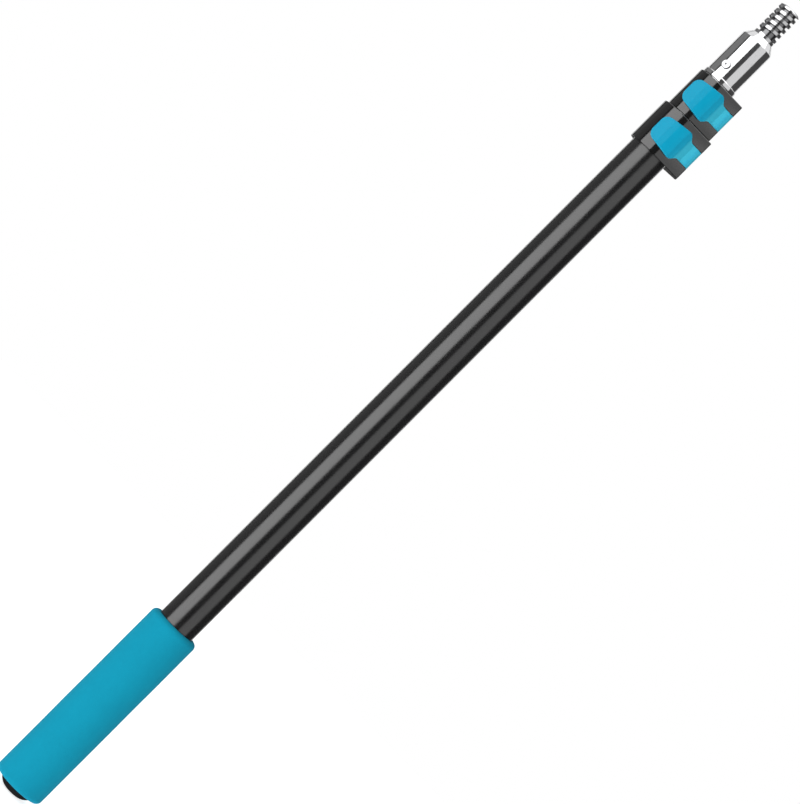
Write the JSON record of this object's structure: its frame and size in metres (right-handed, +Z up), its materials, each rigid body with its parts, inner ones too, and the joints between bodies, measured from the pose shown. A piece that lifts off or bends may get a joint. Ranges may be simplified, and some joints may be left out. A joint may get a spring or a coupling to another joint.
{
  "type": "telescopic roller extension pole",
  "caption": "Telescopic paint roller pole with nested tubes, flip-lever locks on moulded collars, a foam grip, a domed butt cap and a threaded tip.",
  "frame": {"origin": "the flat at the middle of the butt cap, on the pole's axis", "axes": "+Z up the pole from the butt to the threaded tip, -Y the side that the levers lie on, +X the side that they hinge on; stored closed, with the levers shut"},
  "size_m": [0.0501, 0.0442, 0.8244],
  "materials": {
    "black_coat": "satin black powder coat on aluminium",
    "teal_foam": "matt closed-cell foam with a fine skin",
    "black_cap": "matt moulded black plastic",
    "black_gloss": "glossy moulded black plastic",
    "natural_acetal": "satin natural acetal",
    "steel": "zinc-plated steel",
    "teal_plastic": "semi-gloss moulded teal plastic",
    "brake_rubber": "matt hard rubber",
    "satin_aluminium": "satin anodised drawn aluminium",
    "bright_plate": "bright chromed steel",
    "rivet_steel": "bright blind rivets"
  },
  "bodies": {
    "handle": {"outer_tube": "black_coat", "foam_grip": "teal_foam", "butt_cap": "black_cap", "lower_collar": "black_gloss", "lower_guide_liner": "natural_acetal", "lower_hinge_pin": "steel", "lower_collar_screw": "steel"},
    "lower_lever": {"lower_lever": "teal_plastic"},
    "lower_brake": {"lower_brake_pad": "brake_rubber"},
    "middle_carrier": {"middle_tube_bush": "natural_acetal"},
    "middle_section": {"middle_tube": "satin_aluminium", "upper_collar": "black_gloss", "upper_guide_liner": "natural_acetal", "upper_hinge_pin": "steel", "upper_collar_screw": "steel"},
    "upper_lever": {"upper_lever": "teal_plastic"},
    "upper_brake": {"upper_brake_pad": "brake_rubber"},
    "inner_carrier": {"inner_tube_bush": "natural_acetal"},
    "inner_section": {"inner_tube": "satin_aluminium", "ferrule": "bright_plate", "ferrule_rivets": "rivet_steel", "threaded_stud": "bright_plate"}
  },
  "joints": [
    {"name": "lower_lever_hinge", "type": "hinge", "parent": "handle", "child": "lower_lever", "pos_m": [0.02335, -0.00824, 0.6928], "axis": [0, 0, 1], "range_deg": [0, 115]},
    {"name": "lower_pad_slide", "type": "slide", "parent": "handle", "child": "lower_brake", "axis": [0.943, -0.3327, 0], "range_m": [0, 0.0006]},
    {"name": "middle_slide", "type": "slide", "parent": "handle", "child": "middle_carrier", "axis": [0, 0, 1], "range_m": [0, 0.56]},
    {"name": "middle_twist", "type": "hinge", "parent": "middle_carrier", "child": "middle_section", "pos_m": [0, 0, 0.4], "axis": [0, 0, 1], "continuous": true},
    {"name": "upper_lever_hinge", "type": "hinge", "parent": "middle_section", "child": "upper_lever", "pos_m": [0.02065, -0.00617, 0.7289], "axis": [0, 0, 1], "range_deg": [0, 115]},
    {"name": "upper_pad_slide", "type": "slide", "parent": "middle_section", "child": "upper_brake", "axis": [0.9582, -0.2861, 0], "range_m": [0, 0.0006]},
    {"name": "inner_slide", "type": "slide", "parent": "middle_section", "child": "inner_carrier", "axis": [0, 0, 1], "range_m": [0, 0.58]},
    {"name": "inner_twist", "type": "hinge", "parent": "inner_carrier", "child": "inner_section", "pos_m": [0, 0, 0.4], "axis": [0, 0, 1], "continuous": true}
  ],
  "couplings": [
    {"joint": "lower_pad_slide", "follows": "lower_lever_hinge", "m_per_rad": 0.00024},
    {"joint": "upper_pad_slide", "follows": "upper_lever_hinge", "m_per_rad": 0.00024}
  ]
}
